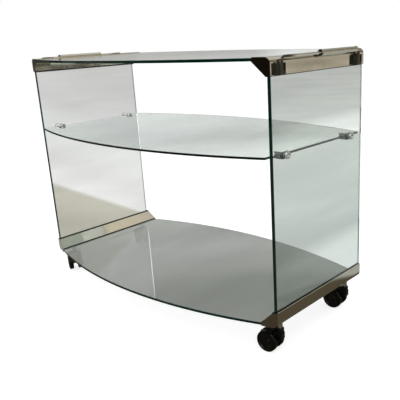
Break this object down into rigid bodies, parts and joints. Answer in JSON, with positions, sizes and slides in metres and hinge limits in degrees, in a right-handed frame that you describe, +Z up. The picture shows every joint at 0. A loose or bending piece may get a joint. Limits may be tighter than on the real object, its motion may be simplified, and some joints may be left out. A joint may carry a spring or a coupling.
{
  "type": "serving trolley",
  "caption": "Glass serving trolley: glass sides, bowed top, shelf and base in bright corner rails, with swing handles and twin-wheel casters.",
  "frame": {"origin": "on the floor, under the middle of the glass frame", "axes": "+Z up, X along the trolley between the glass sides, -Y towards the front bowed edge"},
  "size_m": [0.8691, 0.474, 0.6339],
  "materials": {
    "plate_glass": "clear float glass, ground and polished edges",
    "side_glass": "clear float glass, ground and polished edges",
    "rail_chrome": "mirror-bright extrusion",
    "end_cap_chrome": "polished plate",
    "strip_rubber": "black sealing strip",
    "clamp_chrome": "polished",
    "clear_washer": "soft translucent plastic",
    "small_steel": "zinc plated",
    "bracket_black": "black, glossy",
    "bail_steel": "polished rod",
    "grip_steel": "satin tube",
    "stem_chrome": "polished",
    "caster_black": "moulded black nylon",
    "wheel_black": "moulded black nylon",
    "socket_nylon": "plain nylon"
  },
  "bodies": {
    "frame": {"top_glass": "plate_glass", "middle_shelf_glass": "plate_glass", "bottom_glass": "plate_glass", "left_side_glass": "side_glass", "right_side_glass": "side_glass", "top_left_rail": "rail_chrome", "top_left_end_caps": "end_cap_chrome", "top_left_strips": "strip_rubber", "top_right_rail": "rail_chrome", "top_right_end_caps": "end_cap_chrome", "top_right_strips": "strip_rubber", "bottom_left_rail": "rail_chrome", "bottom_left_end_caps": "end_cap_chrome", "bottom_left_strips": "strip_rubber", "bottom_right_rail": "rail_chrome", "bottom_right_end_caps": "end_cap_chrome", "bottom_right_strips": "strip_rubber", "left_front_shelf_clamp": "clamp_chrome", "left_rear_shelf_clamp": "clamp_chrome", "right_front_shelf_clamp": "clamp_chrome", "right_rear_shelf_clamp": "clamp_chrome", "clamp_caps": "clamp_chrome", "clamp_washers": "clear_washer", "clamp_pads": "clear_washer", "clamp_grub_screws": "small_steel", "left_handle_brackets": "bracket_black", "left_handle_pins": "small_steel", "right_handle_brackets": "bracket_black", "right_handle_pins": "small_steel", "bracket_screws": "small_steel", "bracket_nut_plates": "small_steel", "left_front_caster_stem": "stem_chrome", "left_rear_caster_stem": "stem_chrome", "right_front_caster_stem": "stem_chrome", "right_rear_caster_stem": "stem_chrome", "caster_sockets": "socket_nylon"},
    "left_bail": {"left_handle_bail": "bail_steel"},
    "left_grip": {"left_handle_grip": "grip_steel", "left_handle_grip_rings": "bracket_black"},
    "right_bail": {"right_handle_bail": "bail_steel"},
    "right_grip": {"right_handle_grip": "grip_steel", "right_handle_grip_rings": "bracket_black"},
    "left_front_caster_swivel": {"left_front_caster_hood": "caster_black", "left_front_caster_axle": "small_steel"},
    "left_front_caster_near_wheel": {"left_front_caster_near_wheel": "wheel_black"},
    "left_front_caster_far_wheel": {"left_front_caster_far_wheel": "wheel_black"},
    "left_rear_caster_swivel": {"left_rear_caster_hood": "caster_black", "left_rear_caster_axle": "small_steel"},
    "left_rear_caster_near_wheel": {"left_rear_caster_near_wheel": "wheel_black"},
    "left_rear_caster_far_wheel": {"left_rear_caster_far_wheel": "wheel_black"},
    "right_front_caster_swivel": {"right_front_caster_hood": "caster_black", "right_front_caster_axle": "small_steel"},
    "right_front_caster_near_wheel": {"right_front_caster_near_wheel": "wheel_black"},
    "right_front_caster_far_wheel": {"right_front_caster_far_wheel": "wheel_black"},
    "right_rear_caster_swivel": {"right_rear_caster_hood": "caster_black", "right_rear_caster_axle": "small_steel"},
    "right_rear_caster_near_wheel": {"right_rear_caster_near_wheel": "wheel_black"},
    "right_rear_caster_far_wheel": {"right_rear_caster_far_wheel": "wheel_black"}
  },
  "joints": [
    {"name": "left_handle_swing", "type": "hinge", "parent": "frame", "child": "left_bail", "pos_m": [-0.4185, 0, 0.604], "axis": [0, -1, 0], "range_deg": [0, 94]},
    {"name": "left_grip_slide", "type": "slide", "parent": "left_bail", "child": "left_grip", "axis": [0, 1, 0], "range_m": [-0.048, 0.069]},
    {"name": "right_handle_swing", "type": "hinge", "parent": "frame", "child": "right_bail", "pos_m": [0.4185, 0, 0.604], "axis": [0, 1, 0], "range_deg": [0, 94]},
    {"name": "right_grip_slide", "type": "slide", "parent": "right_bail", "child": "right_grip", "axis": [0, 1, 0], "range_m": [-0.117, 0]},
    {"name": "left_front_caster_turn", "type": "hinge", "parent": "frame", "child": "left_front_caster_swivel", "pos_m": [-0.3915, -0.1315, 0.05], "axis": [0, 0, 1], "continuous": true},
    {"name": "left_front_caster_near_wheel_roll", "type": "hinge", "parent": "left_front_caster_swivel", "child": "left_front_caster_near_wheel", "pos_m": [-0.41552, -0.1203, 0.025], "axis": [-0.4226, -0.9063, 0], "continuous": true},
    {"name": "left_front_caster_far_wheel_roll", "type": "hinge", "parent": "left_front_caster_swivel", "child": "left_front_caster_far_wheel", "pos_m": [-0.41552, -0.1203, 0.025], "axis": [-0.4226, -0.9063, 0], "continuous": true},
    {"name": "left_rear_caster_turn", "type": "hinge", "parent": "frame", "child": "left_rear_caster_swivel", "pos_m": [-0.3915, 0.1315, 0.05], "axis": [0, 0, 1], "continuous": true},
    {"name": "left_rear_caster_near_wheel_roll", "type": "hinge", "parent": "left_rear_caster_swivel", "child": "left_rear_caster_near_wheel", "pos_m": [-0.41552, 0.1427, 0.025], "axis": [-0.4226, -0.9063, 0], "continuous": true},
    {"name": "left_rear_caster_far_wheel_roll", "type": "hinge", "parent": "left_rear_caster_swivel", "child": "left_rear_caster_far_wheel", "pos_m": [-0.41552, 0.1427, 0.025], "axis": [-0.4226, -0.9063, 0], "continuous": true},
    {"name": "right_front_caster_turn", "type": "hinge", "parent": "frame", "child": "right_front_caster_swivel", "pos_m": [0.3915, -0.1315, 0.05], "axis": [0, 0, 1], "continuous": true},
    {"name": "right_front_caster_near_wheel_roll", "type": "hinge", "parent": "right_front_caster_swivel", "child": "right_front_caster_near_wheel", "pos_m": [0.36506, -0.13335, 0.025], "axis": [0.0698, -0.9976, 0], "continuous": true},
    {"name": "right_front_caster_far_wheel_roll", "type": "hinge", "parent": "right_front_caster_swivel", "child": "right_front_caster_far_wheel", "pos_m": [0.36506, -0.13335, 0.025], "axis": [0.0698, -0.9976, 0], "continuous": true},
    {"name": "right_rear_caster_turn", "type": "hinge", "parent": "frame", "child": "right_rear_caster_swivel", "pos_m": [0.3915, 0.1315, 0.05], "axis": [0, 0, 1], "continuous": true},
    {"name": "right_rear_caster_near_wheel_roll", "type": "hinge", "parent": "right_rear_caster_swivel", "child": "right_rear_caster_near_wheel", "pos_m": [0.36506, 0.12965, 0.025], "axis": [0.0698, -0.9976, 0], "continuous": true},
    {"name": "right_rear_caster_far_wheel_roll", "type": "hinge", "parent": "right_rear_caster_swivel", "child": "right_rear_caster_far_wheel", "pos_m": [0.36506, 0.12965, 0.025], "axis": [0.0698, -0.9976, 0], "continuous": true}
  ]
}
